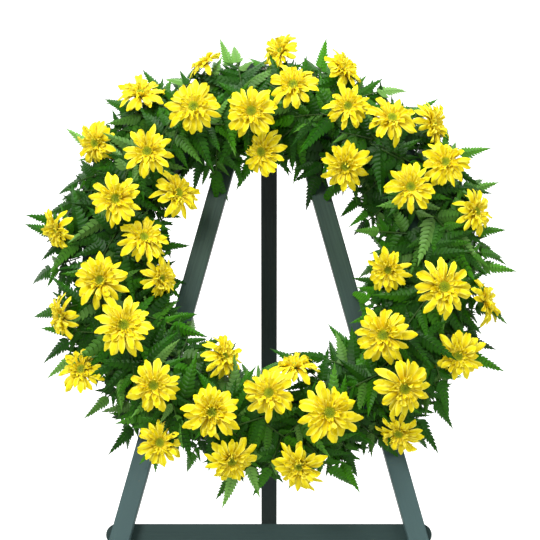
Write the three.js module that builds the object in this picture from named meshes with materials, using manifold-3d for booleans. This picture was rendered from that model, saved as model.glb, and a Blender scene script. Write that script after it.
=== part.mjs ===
// A standing funeral wreath: daisy chrysanthemums and leatherleaf fern set in a ring of
// florist's foam, wired to the front of a folding three-legged wooden easel.
//
// Millimetres, +Z up, the wreath faces -Y. The origin lies on the floor, midway between the
// outermost points. The easel's two front legs and everything on them lean back together,
// so they are modelled upright in the group `frontFrame`, which is then tilted: in it,
// Z runs up the legs, Y = 0 is the legs' front face and "depth" is measured forward, to -Y.

import * as THREE from "three";
import { mergeVertices } from "three/addons/utils/BufferGeometryUtils.js";
import Module from "manifold-3d";

const wasm = await Module();
wasm.setup();

// ---- Driving dimensions -------------------------------------------------------------

const degrees = Math.PI / 180;
const fit = 0.4; // gap left between pieces that touch

const frontLean = 12 * degrees; // front legs lean back from the vertical
const frontSplay = 15 * degrees; // each front leg opens sideways
const rearSpread = 25 * degrees; // angle between the front legs and the open rear leg
const floorShift = -194.4; // sets the front feet forward, so that the outline is centred on Y = 0

const frontLeg = { length: 914, width: 24, depth: 18 };
const rearLeg = { width: 21, depth: 18, clearance: 1.2 };
const brace = { width: 26, length: 400, thickness: 9, height: 282 };
const hinge = { width: 16, leaf: 1.2, knuckle: 3, pin: 1.5, bore: 1.62, fixedLeaf: 13, movingLeaf: 22 };
const screw = { shank: 2, head: 4.2, headHeight: 2.4, length: 22 };
const nail = { shank: 1.3, head: 3, headHeight: 1.2, length: 30 };

const wreathHeight = 614; // wreath centre, measured up the front legs
const ring = { radius: 198, width: 66, depth: 45, bevel: 12 };
const tray = { wall: 2, clearance: 0.6, lip: 14, standOff: 0.3 };
const ringFacets = 48;
const wire = { radius: 0.9, besideLeg: 4 };

const stemRadius = 1.7;
const branchRadius = 1.4;
const stemSides = 5;
const discRadius = 0.17; // share of a head's radius taken by the green disc
const petalCount = 10;
const crownDepth = 92; // depth of a head over the middle of the ring
const crownFall = 0.0095; // how fast heads fall back either side of the middle, per mm
const tiltPerMm = 0.8 * degrees; // heads turn away from the ring's middle line
const headHeight = 15; // from the top of the stem to the disc

// Each spray is one stem with two or three flower heads:
// [clock angle in degrees, distance from the wreath's centre, width across, lift].
const sprays = [
  [[3, 271, 54, 0], [8, 213, 62, 0]],
  [[21, 260, 54, 0], [28, 207, 56, 0], [40, 147, 62, 0]],
  [[50, 270, 60, 0], [42, 226, 66, 6]],
  [[62, 246, 62, 6], [65, 190, 60, 0]],
  [[77, 263, 60, 0], [102, 215, 72, 4]],
  [[101, 272, 56, 0], [118, 260, 62, 0]],
  [[97, 146, 54, 0], [127, 171, 70, 6]],
  [[136, 232, 70, 10], [144, 266, 58, -6]],
  [[160, 209, 74, 4], [167, 137, 60, 0]],
  [[180, 172, 62, 4], [204, 133, 54, 0]],
  [[172, 258, 64, 0], [199, 207, 66, 4], [190, 254, 62, 0]],
  [[220, 213, 62, 0], [210, 262, 56, 0]],
  [[239, 266, 58, 0], [254, 264, 56, 0]],
  [[242, 196, 70, 8], [259, 134, 52, 0]],
  [[260, 206, 64, 0], [278, 265, 54, 0]],
  [[278, 154, 62, 0], [306, 138, 62, 0]],
  [[289, 196, 64, 6], [310, 194, 62, 0]],
  [[304, 261, 58, 0], [323, 268, 60, 0]],
  [[333, 204, 66, 0], [342, 264, 48, 0]],
  [[353, 177, 64, 6], [356, 136, 60, -4]],
];

// Fern fronds point out from the ring, or in towards its centre:
// [clock angle, sideways sweep in degrees, size].
const outerFronds = [
  [15, -3, 0.92], [42, 5, 0.86], [70, -4, 0.96], [90, 4, 0.94], [115, 0, 1.06], [136, 4, 0.98],
  [161, -5, 0.86], [188, 4, 0.9], [219, 2, 0.9], [245, -4, 0.92], [281, 3, 1], [304, -2, 0.97],
  [328, 4, 0.86], [350, -4, 0.86],
];
const innerFronds = [
  [18, 6, 0.62], [60, -8, 0.62], [100, 6, 0.68], [136, -6, 0.68], [207, 6, 0.7], [243, 6, 0.68],
  [278, -6, 0.74], [344, 6, 0.66],
];
const frond = {
  rachis: 78, thickness: 1, stem: 2, depth: 17, layer: 6, droop: 9, sideDroop: 0.0016, root: 14, bare: 6,
};
// Side leaflets of a frond: [place along the rachis, length, half width, angle].
const leaflets = [[0.1, 62, 7.5, 66], [0.36, 48, 6.5, 56], [0.6, 30, 5, 46]];

// ---- Worked-out sizes ---------------------------------------------------------------

const frontLegTop = frontLeg.length * Math.cos(frontSplay);
const legHalfWidth = frontLeg.width / 2 / Math.cos(frontSplay);
const crossingHeight = wreathHeight + 341; // where the two leg centre lines would meet
const hingeHeight =
  crossingHeight - (rearLeg.width / 2 + rearLeg.clearance + legHalfWidth) / Math.tan(frontSplay);
const hingeFace = 2 * hinge.knuckle + 0.5; // Y of the faces that carry the hinge leaves
const hingeAxis = new THREE.Vector3(0, hingeFace - hinge.knuckle, hingeHeight);
const headerFloor = hingeHeight + 0.8;

const foamInner = ring.radius - ring.width / 2;
const foamOuter = ring.radius + ring.width / 2;
const trayInner = foamInner - tray.wall - tray.clearance;
const trayOuter = foamOuter + tray.wall + tray.clearance;
const trayFloor = tray.standOff + tray.wall;
const foamBack = trayFloor + fit;
const foamFront = foamBack + ring.depth;

// ---- Materials ----------------------------------------------------------------------

const material = (color, roughness, metalness = 0) =>
  new THREE.MeshStandardMaterial({ color, roughness, metalness });
const stainedWood = material(0x36504a, 0.6);
const zincSteel = material(0x9aa09c, 0.35, 1);
const enamelledWire = material(0x2c5a34, 0.4, 0.6);
const trayPlastic = material(0x1d3a30, 0.55);
const wetFoam = material(0x2f5a3a, 0.95);
const petalYellow = material(0xf6d21e, 0.6);
const fernGreen = material(0x1f6b26, 0.45);

// ---- Helpers ------------------------------------------------------------------------

/** A geometry with only its positions, and with the vertices that meet joined into one. */
function welded(geometry) {
  const bare = geometry.clone();
  bare.deleteAttribute("normal");
  bare.deleteAttribute("uv");
  return mergeVertices(bare, 1e-4);
}

/** A closed three.js geometry as a solid, placed by a matrix, with its faces pointing out. */
function solid(geometry, matrix = new THREE.Matrix4()) {
  const placed = welded(geometry).applyMatrix4(matrix);
  const vertProperties = placed.attributes.position.array;
  const triVerts = new Uint32Array(placed.index.array);
  const made = new wasm.Manifold(new wasm.Mesh({ numProp: 3, vertProperties, triVerts }));
  if (made.volume() > 0) return made;
  for (let i = 0; i < triVerts.length; i += 3) {
    [triVerts[i], triVerts[i + 1]] = [triVerts[i + 1], triVerts[i]];
  }
  return new wasm.Manifold(new wasm.Mesh({ numProp: 3, vertProperties, triVerts }));
}

/** A solid's surface as a three.js geometry. */
function surface(made) {
  const mesh = made.getMesh();
  const geometry = new THREE.BufferGeometry();
  geometry.setAttribute("position", new THREE.BufferAttribute(new Float32Array(mesh.vertProperties), 3));
  geometry.setIndex(new THREE.BufferAttribute(new Uint32Array(mesh.triVerts), 1));
  geometry.computeVertexNormals();
  return geometry;
}

/** Adds a named mesh to a group. */
function addPiece(group, name, made, look) {
  const mesh = new THREE.Mesh(surface(made), look);
  mesh.name = name;
  group.add(mesh);
}

const shift = (x, y, z) => new THREE.Matrix4().makeTranslation(x, y, z);
const block = (width, depth, height, matrix) =>
  solid(new THREE.BoxGeometry(width, depth, height), matrix);

/** A cylinder between two points. */
function rod(from, to, radius, sides = 8) {
  const along = to.clone().sub(from);
  const turn = new THREE.Quaternion().setFromUnitVectors(
    new THREE.Vector3(0, 1, 0), along.clone().normalize());
  const middle = from.clone().add(to).multiplyScalar(0.5);
  const matrix = new THREE.Matrix4().compose(middle, turn, new THREE.Vector3(1, 1, 1));
  return solid(new THREE.CylinderGeometry(radius, radius, along.length(), sides), matrix);
}

/** A tube with closed ends along a curve. */
function tube(curve, radius, steps, sides = 6) {
  const section = new THREE.Shape();
  for (let i = 0; i < sides; i++) {
    const a = (2 * Math.PI * i) / sides;
    if (i) section.lineTo(radius * Math.cos(a), radius * Math.sin(a));
    else section.moveTo(radius, 0);
  }
  return solid(new THREE.ExtrudeGeometry(section, { extrudePath: curve, steps }));
}

/** A point of the wreath, from its clock angle, its distance from the centre and its depth. */
function onWreath(clock, radius, depth) {
  const a = clock * degrees;
  return new THREE.Vector3(
    radius * Math.sin(a), -depth, wreathHeight + radius * Math.cos(a));
}

const outward = (clock) => onWreath(clock, 1, 0).sub(onWreath(clock, 0, 0));

/** A wooden bar with eased edges, along Z and centred on X and Y. */
function bar(width, depth, from, to) {
  const ease = 1.2;
  const x = width / 2;
  const y = depth / 2;
  const section = new THREE.Shape([
    [x - ease, -y], [x, ease - y], [x, y - ease], [x - ease, y],
    [ease - x, y], [-x, y - ease], [-x, ease - y], [ease - x, -y],
  ].map(([px, py]) => new THREE.Vector2(px, py)));
  const geometry = new THREE.ExtrudeGeometry(section, { depth: to - from, bevelEnabled: false });
  return solid(geometry, shift(0, 0, from));
}

// ---- Easel --------------------------------------------------------------------------

/** X of a front leg's centre line at a height up the front frame. */
const legLine = (height) => (crossingHeight - height) * Math.tan(frontSplay);

/** The two screws that hold the brace go through these points of the legs' back faces. */
const braceScrewPoint = (side) =>
  new THREE.Vector3(side * legLine(brace.height), frontLeg.depth, brace.height);

function screwSolid(side, extra = 0) {
  const seat = braceScrewPoint(side).setY(frontLeg.depth + fit + brace.thickness);
  const tip = seat.clone().setY(seat.y - screw.length);
  const top = seat.clone().setY(seat.y + screw.headHeight);
  if (extra) return rod(tip.setY(tip.y - extra), top, screw.shank + extra);
  const underHead = seat.clone().setY(seat.y + fit);
  return rod(tip, underHead, screw.shank).add(rod(underHead, top, screw.head));
}

/** The nail driven through a front leg into the header, and its clearance hole. */
function nailSolid(side, extra = 0) {
  const height = (headerFloor + frontLegTop) / 2 - 1;
  const across = new THREE.Vector3(side * Math.cos(frontSplay), 0, Math.sin(frontSplay));
  const middle = new THREE.Vector3(side * legLine(height), (hingeFace + frontLeg.depth) / 2 + 3 * side, height);
  const seat = middle.clone().addScaledVector(across, frontLeg.width / 2 + fit);
  const tip = seat.clone().addScaledVector(across, -nail.length - extra);
  const top = seat.clone().addScaledVector(across, nail.headHeight);
  if (extra) return rod(tip, top, nail.shank + extra);
  return rod(tip, seat, nail.shank).add(rod(seat, top, nail.head));
}

function frontLegSolid(side) {
  const place = new THREE.Matrix4()
    .makeTranslation(side * legLine(0), frontLeg.depth / 2, 0)
    .multiply(new THREE.Matrix4().makeRotationY(-side * frontSplay));
  const whole = solid(
    surface(bar(frontLeg.width, frontLeg.depth, -30, frontLeg.length + 30)), place);
  return whole
    .trimByPlane([0, 0, -1], -frontLegTop)
    .trimByPlane([0, -Math.sin(frontLean), Math.cos(frontLean)], 0)
    .subtract(screwSolid(side, 0.4))
    .subtract(nailSolid(side, 0.4));
}

/** The small wedge of wood that joins the tops of the front legs and carries the hinge. */
function headerSolid() {
  const half = (height) => legLine(height) - legHalfWidth - fit;
  const top = frontLegTop - 1;
  const outline = new THREE.Shape([
    [half(headerFloor), headerFloor], [half(top), top],
    [-half(top), top], [-half(headerFloor), headerFloor],
  ].map(([x, z]) => new THREE.Vector2(x, z)));
  const depth = frontLeg.depth - hingeFace;
  const upright = new THREE.Matrix4().makeRotationX(90 * degrees);
  const geometry = new THREE.ExtrudeGeometry(outline, { depth, bevelEnabled: false });
  return solid(geometry, shift(0, hingeFace + depth, 0).multiply(upright))
    .subtract(nailSolid(1, 0.4))
    .subtract(nailSolid(-1, 0.4));
}

/** A flat slat with round ends, behind the front legs. */
function braceSolid() {
  const r = brace.width / 2;
  const straight = brace.length / 2 - r;
  const outline = new THREE.Shape();
  outline.absarc(straight, 0, r, -90 * degrees, 90 * degrees);
  outline.absarc(-straight, 0, r, 90 * degrees, 270 * degrees);
  const geometry = new THREE.ExtrudeGeometry(
    outline, { depth: brace.thickness, bevelEnabled: false, curveSegments: 8 });
  const upright = new THREE.Matrix4().makeRotationX(90 * degrees);
  const back = frontLeg.depth + fit + brace.thickness;
  return solid(geometry, shift(0, back, brace.height).multiply(upright))
    .subtract(screwSolid(1, 0.4))
    .subtract(screwSolid(-1, 0.4));
}

/** One hinge leaf with its knuckles. The leaf reaches up or down from the pin. */
function hingeLeaf(direction, length, knuckles) {
  const plate = block(hinge.width, hinge.leaf, length, shift(
    0, hingeFace - hinge.leaf / 2 - fit / 2, hingeHeight + direction * (length / 2 + 0.4)));
  const bore = rod(
    hingeAxis.clone().setX(-hinge.width), hingeAxis.clone().setX(hinge.width), hinge.bore, 12);
  const clearance = rod(
    hingeAxis.clone().setX(-hinge.width), hingeAxis.clone().setX(hinge.width), hinge.knuckle + 0.3, 12);
  const barrels = knuckles.map(([from, to]) => {
    const barrel = rod(hingeAxis.clone().setX(from), hingeAxis.clone().setX(to), hinge.knuckle, 12);
    const root = block(to - from, hinge.leaf, 3.6, shift(
      (from + to) / 2, hingeFace - hinge.leaf / 2 - fit / 2, hingeHeight + direction * 1.8));
    return barrel.add(root);
  });
  return wasm.Manifold.union([plate.subtract(clearance), ...barrels]).subtract(bore);
}

/** The rear leg below its hinge, modelled parallel to the front legs and then swung open. */
function rearLegSolid() {
  const swing = (point) => point.clone().sub(hingeAxis)
    .applyAxisAngle(new THREE.Vector3(1, 0, 0), rearSpread).add(hingeAxis);
  const opened = shift(...hingeAxis.toArray())
    .multiply(new THREE.Matrix4().makeRotationX(rearSpread))
    .multiply(shift(...hingeAxis.clone().negate().toArray()));
  const long = hingeHeight * 1.3;
  const whole = solid(
    surface(bar(rearLeg.width, rearLeg.depth, hingeHeight - long, hingeHeight + 20)),
    opened.clone().multiply(shift(0, hingeFace + rearLeg.depth / 2, 0)));
  const topCorner = swing(new THREE.Vector3(0, hingeFace, hingeHeight - 1));
  return whole
    .trimByPlane([0, 0, -1], -topCorner.z)
    .trimByPlane([0, -Math.sin(frontLean), Math.cos(frontLean)], 0);
}

function movingLeafSolid() {
  const opened = shift(...hingeAxis.toArray())
    .multiply(new THREE.Matrix4().makeRotationX(rearSpread))
    .multiply(shift(...hingeAxis.clone().negate().toArray()));
  return solid(surface(hingeLeaf(-1, hinge.movingLeaf, [[-2.6, 2.6]])), opened);
}

function hingePinSolid() {
  const half = hinge.width / 2 + 0.8;
  return rod(hingeAxis.clone().setX(-half), hingeAxis.clone().setX(half), hinge.pin, 12);
}

// ---- Ring ---------------------------------------------------------------------------

/** A closed section swept round the wreath's axis: [distance from the centre, depth]. */
function sweptRing(section) {
  const points = [...section, section[0]].map(([radius, depth]) => new THREE.Vector2(radius, -depth));
  return solid(new THREE.LatheGeometry(points, ringFacets), shift(0, 0, wreathHeight));
}

/** Heights at which the ring's middle line crosses a front leg, upper and lower. */
function legCrossings() {
  const t = Math.tan(frontSplay);
  const gap = crossingHeight - wreathHeight;
  const a = 1 + t * t;
  const b = -2 * t * t * gap;
  const c = t * t * gap * gap - ring.radius * ring.radius;
  const root = Math.sqrt(b * b - 4 * a * c);
  return [(-b + root) / (2 * a), (-b - root) / (2 * a)].map((z) => wreathHeight + z);
}

/** A wire loop through the foam and the tray and round the back of a leg. */
function tieSolid(side, height, extra = 0) {
  const centre = new THREE.Vector3(side * legLine(height), 0, height);
  const across = new THREE.Vector3(Math.cos(frontSplay), 0, side * Math.sin(frontSplay));
  const half = frontLeg.width / 2 + wire.besideLeg;
  const front = -(foamFront + 2 * wire.radius);
  const back = frontLeg.depth + 2 * wire.radius;
  const corner = 4;
  const path = new THREE.CurvePath();
  const at = (u, y) => centre.clone().addScaledVector(across, u).setY(y);
  const corners = [[half, front], [half, back], [-half, back], [-half, front]];
  corners.forEach(([u, y], i) => {
    const [nextU, nextY] = corners[(i + 1) % 4];
    const [lastU, lastY] = corners[(i + 3) % 4];
    const towards = (pu, py) => {
      const length = Math.hypot(pu - u, py - y);
      return at(u + (corner * (pu - u)) / length, y + (corner * (py - y)) / length);
    };
    path.add(new THREE.QuadraticBezierCurve3(towards(lastU, lastY), at(u, y), towards(nextU, nextY)));
    const [a, b] = [at(u, y), at(nextU, nextY)];
    const along = b.clone().sub(a).normalize();
    path.add(new THREE.LineCurve3(
      a.addScaledVector(along, corner), b.addScaledVector(along, -corner)));
  });
  const stops = [];
  path.curves.forEach((piece, i) => {
    const parts = i % 2 ? 1 : 2;
    for (let k = 0; k < parts; k++) stops.push(piece.getPoint(k / parts));
  });
  return wireLoop(stops, wire.radius + extra);
}

/** A closed loop of wire: six-sided rods between the stops, joined by small balls. */
function wireLoop(stops, radius) {
  const sides = 6;
  const n = stops.length;
  const positions = [];
  const plane = stops[2].clone().sub(stops[0]).cross(stops[5].clone().sub(stops[0])).normalize();
  stops.forEach((point, i) => {
    const along = stops[(i + 1) % n].clone().sub(stops[(i + n - 1) % n]).normalize();
    const sideways = plane.clone().cross(along).normalize();
    for (let k = 0; k < sides; k++) {
      const a = (2 * Math.PI * k) / sides;
      positions.push(...point.clone()
        .addScaledVector(plane, radius * Math.cos(a))
        .addScaledVector(sideways, radius * Math.sin(a)).toArray());
    }
  });
  const faces = [];
  for (let i = 0; i < n; i++) {
    for (let k = 0; k < sides; k++) {
      const a = i * sides + k;
      const b = i * sides + ((k + 1) % sides);
      const c = ((i + 1) % n) * sides + k;
      const d = ((i + 1) % n) * sides + ((k + 1) % sides);
      faces.push(a, b, c, b, d, c);
    }
  }
  const geometry = new THREE.BufferGeometry();
  geometry.setAttribute("position", new THREE.Float32BufferAttribute(positions, 3));
  geometry.setIndex(faces);
  return solid(geometry);
}

// ---- Flowers ------------------------------------------------------------------------

/** Where a flower head sits: its disc, the way it faces and the top of its stem. */
function headPlace([clock, radius, across, lift]) {
  const off = radius - ring.radius;
  const depth = crownDepth - crownFall * off * off + lift;
  const tilt = tiltPerMm * off;
  const facing = outward(clock).multiplyScalar(Math.sin(tilt))
    .add(new THREE.Vector3(0, -Math.cos(tilt), 0));
  const disc = onWreath(clock, radius, depth);
  return { clock, facing, disc, across, stemTop: disc.clone().addScaledVector(facing, -headHeight) };
}

/** A daisy head: a cone of bracts, a scalloped double row of petals and a domed disc. */
function headSolid(place) {
  const size = place.across / 2;
  const ringOf = (count, radii, heights, turn = 0) => {
    const points = [];
    for (let i = 0; i < count; i++) {
      const a = ((i + turn) / count) * 2 * Math.PI;
      const radius = radii[i % radii.length];
      points.push([radius * Math.cos(a), radius * Math.sin(a), heights[i % heights.length]]);
    }
    return points;
  };
  const rings = [
    ringOf(petalCount, [0.26 * size], [6]),
    ringOf(2 * petalCount, [size, 0.72 * size], [headHeight - 1, headHeight - 4]),
    ringOf(2 * petalCount, [0.42 * size, 0.6 * size], [headHeight - 1, headHeight + 3]),
    ringOf(petalCount, [discRadius * size], [headHeight - 1]),
  ];
  const positions = [0, 0, 0];
  const starts = rings.map((points) => {
    const start = positions.length / 3;
    points.forEach((point) => positions.push(...point));
    return start;
  });
  const topIndex = positions.length / 3;
  positions.push(0, 0, headHeight + 2);
  const faces = [];
  const n = petalCount;
  for (let i = 0; i < n; i++) {
    const j = (i + 1) % n;
    const [bracts, tips, inner, disc] = starts;
    faces.push(0, bracts + j, bracts + i);
    // bracts out to the petal tips
    faces.push(bracts + i, bracts + j, tips + 2 * i + 1);
    faces.push(bracts + i, tips + 2 * i + 1, tips + 2 * i);
    faces.push(bracts + j, tips + ((2 * i + 2) % (2 * n)), tips + 2 * i + 1);
    // petal tips in to the raised inner row
    for (const k of [2 * i, 2 * i + 1]) {
      const next = (k + 1) % (2 * n);
      faces.push(tips + k, tips + next, inner + next);
      faces.push(tips + k, inner + next, inner + k);
    }
    // inner row down to the disc, and the disc's dome
    faces.push(disc + i, inner + 2 * i, inner + 2 * i + 1);
    faces.push(disc + i, inner + 2 * i + 1, disc + j);
    faces.push(disc + j, inner + 2 * i + 1, inner + ((2 * i + 2) % (2 * n)));
    faces.push(disc + i, disc + j, topIndex);
  }
  const geometry = new THREE.BufferGeometry();
  geometry.setAttribute("position", new THREE.Float32BufferAttribute(positions, 3));
  geometry.setIndex(faces);
  const turn = new THREE.Quaternion()
    .setFromUnitVectors(new THREE.Vector3(0, 0, 1), place.facing)
    .multiply(new THREE.Quaternion().setFromAxisAngle(
      new THREE.Vector3(0, 0, 1), place.clock * 7 * degrees));
  return solid(geometry, new THREE.Matrix4().compose(place.stemTop, turn, new THREE.Vector3(1, 1, 1)));
}

/** The stems of a spray: one in the foam, forking to each head just outside it. */
function stemParts(places, extra = 0) {
  const mean = places.reduce((sum, p) => sum.add(p.stemTop), new THREE.Vector3())
    .divideScalar(places.length);
  const flat = new THREE.Vector2(mean.x, mean.z - wreathHeight);
  const clock = Math.atan2(flat.x, flat.y) / degrees;
  const root = onWreath(clock, ring.radius + 0.2 * (flat.length() - ring.radius), foamBack + 14);
  const fork = root.clone().lerp(mean, 0.7);
  const parts = [rod(root, fork, stemRadius + extra, stemSides)];
  for (const place of places) {
    const reach = fork.distanceTo(place.stemTop);
    const bend = place.stemTop.clone().addScaledVector(place.facing, -0.35 * reach);
    const end = place.stemTop.clone().addScaledVector(place.facing, 1.5);
    parts.push(tube(new THREE.QuadraticBezierCurve3(
      root.clone().lerp(fork, 0.92), bend, end), branchRadius + extra, 2, stemSides));
  }
  return parts;
}

// ---- Ferns --------------------------------------------------------------------------

/** The outline of one frond, flat: x is sideways and y runs along the stalk, from the foam. */
function frondOutline(size) {
  const half = frond.stem / 2;
  const length = frond.rachis * size;
  const flat = (x, y) => new THREE.Vector2(x, y);
  const side = leaflets.flatMap(([along, reach, width, angle]) => {
    const base = flat(half * 0.6, along * length);
    const out = flat(Math.sin(angle * degrees), Math.cos(angle * degrees));
    const across = flat(out.y, -out.x);
    const at = (share, offset) => base.clone()
      .addScaledVector(out, share * reach * size)
      .addScaledVector(across, offset * size);
    return [at(0.03, 2.4), at(0.3, width), at(0.62, 0.75 * width), at(1, 0), at(0.66, -0.7 * width),
      at(0.34, -width), at(0.1, -1.6)];
  });
  const tip = [flat(4.5 * size, 0.76 * length), flat(4 * size, 0.86 * length)];
  const right = [flat(half, -frond.root - frond.bare), flat(half, 0), ...side, ...tip];
  const left = right.map((point) => flat(-point.x, point.y)).reverse();
  return new THREE.Shape([...right, flat(0, length), ...left]);
}

/** Where a frond's blade starts and which way it points. direction is 1 outwards, -1 inwards. */
function frondPlace([clock, sweep, size], index, direction) {
  const edge = direction > 0 ? foamOuter : foamInner;
  const along = outward(clock + sweep).multiplyScalar(direction);
  return {
    size,
    along,
    base: onWreath(clock, edge + direction * frond.bare, frond.depth + frond.layer * (index % 2)),
    sideways: along.clone().cross(new THREE.Vector3(0, -1, 0)),
  };
}

/** One frond: its outline, bent back towards the tip and towards both sides. */
function frondSolid({ size, along, base, sideways }) {
  const geometry = welded(new THREE.ExtrudeGeometry(
    frondOutline(size), { depth: frond.thickness, bevelEnabled: false }));
  const position = geometry.attributes.position;
  for (let i = 0; i < position.count; i++) {
    const x = position.getX(i);
    const y = position.getY(i);
    const fall = frond.droop * (Math.max(0, y) / frond.rachis) ** 2 + frond.sideDroop * x * x;
    const point = base.clone()
      .addScaledVector(along, y)
      .addScaledVector(sideways, x);
    position.setXYZ(i, point.x, point.y + fall - position.getZ(i), point.z);
  }
  return solid(geometry);
}

/** The hole in the foam for a frond's stalk. */
function frondHole({ along, base }) {
  const middle = base.clone().setY(base.y - frond.thickness / 2);
  const mouth = middle.clone().addScaledVector(along, -1);
  const end = middle.clone().addScaledVector(along, -frond.bare - frond.root - 1);
  return rod(mouth, end, frond.stem / 2 + 0.7, stemSides);
}

// ---- Assembly -----------------------------------------------------------------------

const frontFrame = new THREE.Group();
frontFrame.rotation.x = -frontLean;
frontFrame.position.y = floorShift;

for (const [side, name] of [[-1, "left"], [1, "right"]]) {
  addPiece(frontFrame, `front_leg_${name}`, frontLegSolid(side), stainedWood);
  addPiece(frontFrame, `brace_screw_${name}`, screwSolid(side), zincSteel);
  addPiece(frontFrame, `header_nail_${name}`, nailSolid(side), zincSteel);
}
addPiece(frontFrame, "header_block", headerSolid(), stainedWood);
addPiece(frontFrame, "cross_brace", braceSolid(), stainedWood);
addPiece(frontFrame, "rear_leg", rearLegSolid(), stainedWood);
addPiece(frontFrame, "hinge_fixed_leaf",
  hingeLeaf(1, hinge.fixedLeaf, [[-8, -3], [3, 8]]), zincSteel);
addPiece(frontFrame, "hinge_moving_leaf", movingLeafSolid(), zincSteel);
addPiece(frontFrame, "hinge_pin", hingePinSolid(), zincSteel);

const ties = [];
legCrossings().forEach((height, row) => {
  for (const [side, name] of [[-1, "left"], [1, "right"]]) {
    addPiece(frontFrame, `tie_wire_${row ? "lower" : "upper"}_${name}`,
      tieSolid(side, height), enamelledWire);
    ties.push(tieSolid(side, height, fit));
  }
});

const stemHoles = [];
sprays.forEach((spray, i) => {
  const places = spray.map(headPlace);
  const made = wasm.Manifold.union([...stemParts(places), ...places.map(headSolid)]);
  addPiece(frontFrame, `daisy_spray_${String(i + 1).padStart(2, "0")}`, made, petalYellow);
  stemHoles.push(...stemParts(places, fit));
});

const frondHoles = [];
for (const [list, direction, name] of [[outerFronds, 1, "outer"], [innerFronds, -1, "inner"]]) {
  list.forEach((entry, i) => {
    const place = frondPlace(entry, i, direction);
    addPiece(frontFrame, `fern_${name}_${String(i + 1).padStart(2, "0")}`, frondSolid(place), fernGreen);
    frondHoles.push(frondHole(place));
  });
}

const traySection = [
  [trayInner, tray.standOff], [trayOuter, tray.standOff], [trayOuter, tray.lip],
  [trayOuter - tray.wall, tray.lip], [trayOuter - tray.wall, trayFloor],
  [trayInner + tray.wall, trayFloor], [trayInner + tray.wall, tray.lip], [trayInner, tray.lip],
];
const foamSection = [
  [foamInner, foamBack], [foamOuter, foamBack], [foamOuter, foamFront - ring.bevel],
  [foamOuter - ring.bevel, foamFront], [foamInner + ring.bevel, foamFront],
  [foamInner, foamFront - ring.bevel],
];
const tieHoles = wasm.Manifold.union(ties);
addPiece(frontFrame, "ring_tray", sweptRing(traySection).subtract(tieHoles), trayPlastic);
addPiece(frontFrame, "foam_ring",
  sweptRing(foamSection).subtract(wasm.Manifold.union([tieHoles, ...stemHoles, ...frondHoles])),
  wetFoam);

const wreathOnEasel = new THREE.Group();
wreathOnEasel.add(frontFrame);

export default wreathOnEasel;
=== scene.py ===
"""Looks for a standing funeral wreath: yellow daisy chrysanthemums and leatherleaf fern in a
ring of floral foam, wired to the front of a folding three-legged wooden easel.

Metres, +Z up, the flowers face -Y. The front of the easel and the whole wreath lean back
together, so flowers and ferns are placed in the wreath's own directions: a clock angle, a
distance from its centre, and a depth forward of the front legs.
"""

import math
import random

import bpy
import numpy as np
from mathutils import Matrix, Vector


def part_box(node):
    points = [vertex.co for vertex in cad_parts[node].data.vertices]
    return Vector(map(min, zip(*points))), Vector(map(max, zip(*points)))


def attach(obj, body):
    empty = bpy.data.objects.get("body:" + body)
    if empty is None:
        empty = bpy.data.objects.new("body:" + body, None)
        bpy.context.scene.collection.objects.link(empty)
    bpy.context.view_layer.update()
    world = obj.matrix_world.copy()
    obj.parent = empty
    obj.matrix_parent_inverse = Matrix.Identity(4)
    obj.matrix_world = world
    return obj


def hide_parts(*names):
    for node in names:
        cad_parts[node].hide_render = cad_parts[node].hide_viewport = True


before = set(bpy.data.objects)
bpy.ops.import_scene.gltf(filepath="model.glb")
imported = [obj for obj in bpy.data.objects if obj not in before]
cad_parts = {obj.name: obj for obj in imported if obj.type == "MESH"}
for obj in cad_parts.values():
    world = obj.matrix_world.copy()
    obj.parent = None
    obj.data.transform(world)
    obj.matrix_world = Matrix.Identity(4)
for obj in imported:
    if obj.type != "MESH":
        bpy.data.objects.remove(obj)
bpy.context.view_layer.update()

MM = 0.001
TAU = 2 * math.pi

# ---- The wreath's own directions ----------------------------------------------------

LEAN = math.radians(12)  # the front legs and the wreath, back from the vertical
SPLAY = math.radians(15)  # each front leg, outwards
REAR_LEAN = math.radians(13)  # the rear leg, the other way
RIGHT = Vector((1, 0, 0))
UP = Vector((0, math.sin(LEAN), math.cos(LEAN)))
FORWARD = Vector((0, -math.cos(LEAN), math.sin(LEAN)))
TRAY_MIDDLE = 7.15 * MM  # depth of the tray's middle, forward of the legs


def middle(node):
    """The middle of the box round a solid."""
    low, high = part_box(node)
    return (low + high) / 2


CENTRE = middle("ring_tray") - FORWARD * TRAY_MIDDLE


def outward(clock):
    """The direction away from the wreath's centre at a clock angle in degrees."""
    a = math.radians(clock)
    return RIGHT * math.sin(a) + UP * math.cos(a)


def on_wreath(clock, radius, depth):
    """A point from its clock angle, distance from the centre and depth, in millimetres."""
    return CENTRE + outward(clock) * radius * MM + FORWARD * depth * MM


def placed(origin, x_axis, z_axis):
    """A matrix that puts a shape at origin, with its X and Z along these directions."""
    x = x_axis.normalized()
    z = (z_axis - x * z_axis.dot(x)).normalized()
    y = z.cross(x)
    turn = Matrix((x, y, z)).transposed().to_4x4()
    return Matrix.Translation(origin) @ turn


# ---- Nodes --------------------------------------------------------------------------


def add_node(tree, kind, inputs=None, **settings):
    """Adds a node, sets its attributes, and fills or links its inputs."""
    made = tree.nodes.new(kind)
    for name, value in settings.items():
        setattr(made, name, value)
    for key, value in (inputs or {}).items():
        if isinstance(value, bpy.types.NodeSocket):
            tree.links.new(value, made.inputs[key])
        else:
            made.inputs[key].default_value = value
    return made


def new_tree(name, inputs):
    """A Geometry Nodes tree with named inputs (name, socket type, value), and its input node."""
    tree = bpy.data.node_groups.new(name, "GeometryNodeTree")
    for label, kind, value in inputs:
        socket = tree.interface.new_socket(label, in_out="INPUT", socket_type=kind)
        socket.default_value = value
    tree.interface.new_socket("Geometry", in_out="OUTPUT", socket_type="NodeSocketGeometry")
    return tree, tree.nodes.new("NodeGroupInput").outputs


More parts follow.
